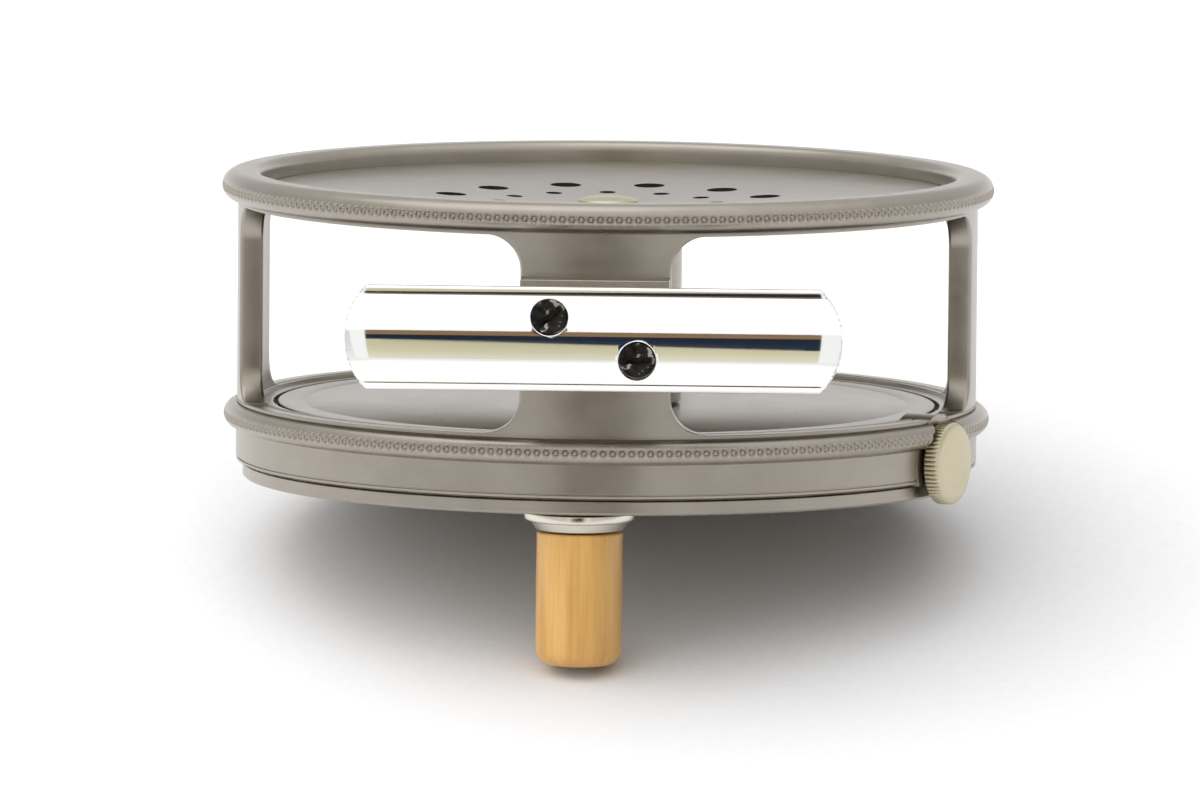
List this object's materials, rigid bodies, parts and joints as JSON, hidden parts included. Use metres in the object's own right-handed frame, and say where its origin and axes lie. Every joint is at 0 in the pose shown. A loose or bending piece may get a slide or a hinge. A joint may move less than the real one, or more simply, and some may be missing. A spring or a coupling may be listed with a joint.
{
  "type": "fly fishing reel",
  "caption": "Wide-drum fly reel: beaded frame with bridge, pillars and rod foot, perforated drum on a winding plate with a turned handle, and an adjustable click check.",
  "frame": {"origin": "centre of the winding plate's outer face, on the flat head of its lock screw, on the spindle axis", "axes": "+Z along the spindle towards the perforated rear side, -Y towards the face of the rod foot, +X along the foot, towards the side with the regulator knob"},
  "size_m": [0.1016, 0.1083, 0.0607],
  "materials": {
    "anodised_aluminium": "satin warm grey anodising",
    "polished_aluminium": "mirror polished",
    "nickel_silver": "satin nickel silver",
    "blued_steel": "dark blued, polished",
    "bright_steel": "ground",
    "bronze": "turned",
    "boxwood": "honey coloured, satin polish"
  },
  "bodies": {
    "frame_body": {"frame": "anodised_aluminium", "spindle_bush": "bronze", "upper_race": "bright_steel", "foot": "polished_aluminium", "foot_screw_left": "blued_steel", "foot_screw_right": "blued_steel", "check_spring": "bright_steel", "spring_screw": "bright_steel", "pawl_screw": "bright_steel"},
    "drum": {"spindle": "bright_steel", "arbor": "anodised_aluminium", "front_flange": "anodised_aluminium", "rear_flange": "anodised_aluminium", "spindle_cap": "nickel_silver", "winding_plate": "anodised_aluminium", "plate_lock_screw": "nickel_silver", "check_wheel": "bright_steel", "lower_race": "bright_steel", "handle_ferrule": "nickel_silver", "handle_post": "bright_steel", "handle_end_screw": "nickel_silver"},
    "handle": {"handle_grip": "boxwood"},
    "ball_race": {"ball_retainer": "bronze", "ball_1": "bright_steel", "ball_2": "bright_steel", "ball_3": "bright_steel", "ball_4": "bright_steel", "ball_5": "bright_steel", "ball_6": "bright_steel", "ball_7": "bright_steel", "ball_8": "bright_steel", "ball_9": "bright_steel", "ball_10": "bright_steel"},
    "regulator": {"regulator_knob": "nickel_silver", "regulator_screw": "bright_steel"},
    "slide": {"spring_slide": "bronze"},
    "pawl": {"check_pawl": "bright_steel"}
  },
  "joints": [
    {"name": "drum_spin", "type": "hinge", "parent": "frame_body", "child": "drum", "pos_m": [0, 0, 0], "axis": [0, 0, 1], "continuous": true},
    {"name": "handle_spin", "type": "hinge", "parent": "drum", "child": "handle", "pos_m": [-0.00207, -0.03945, 0], "axis": [0, 0, 1], "continuous": true},
    {"name": "ball_race_spin", "type": "hinge", "parent": "frame_body", "child": "ball_race", "pos_m": [0, 0, 0.0043], "axis": [0, 0, 1], "continuous": true},
    {"name": "regulator_turn", "type": "hinge", "parent": "frame_body", "child": "regulator", "pos_m": [0.04532, -0.02113, 0.0046], "axis": [0.9063, -0.4226, 0], "range_deg": [-540, 540]},
    {"name": "slide_travel", "type": "slide", "parent": "frame_body", "child": "slide", "axis": [0.9063, -0.4226, 0], "range_m": [-0.0015, 0.0015]},
    {"name": "pawl_rock", "type": "hinge", "parent": "frame_body", "child": "pawl", "pos_m": [0.02311, -0.01078, 0.0046], "axis": [0, 0, 1], "range_deg": [-10, 10], "stiffness_Nm_per_rad": 0.02}
  ],
  "couplings": [
    {"joint": "ball_race_spin", "follows": "drum_spin", "ratio": 0.5},
    {"joint": "regulator_turn", "follows": "slide_travel", "rad_per_m": -6283.2}
  ]
}
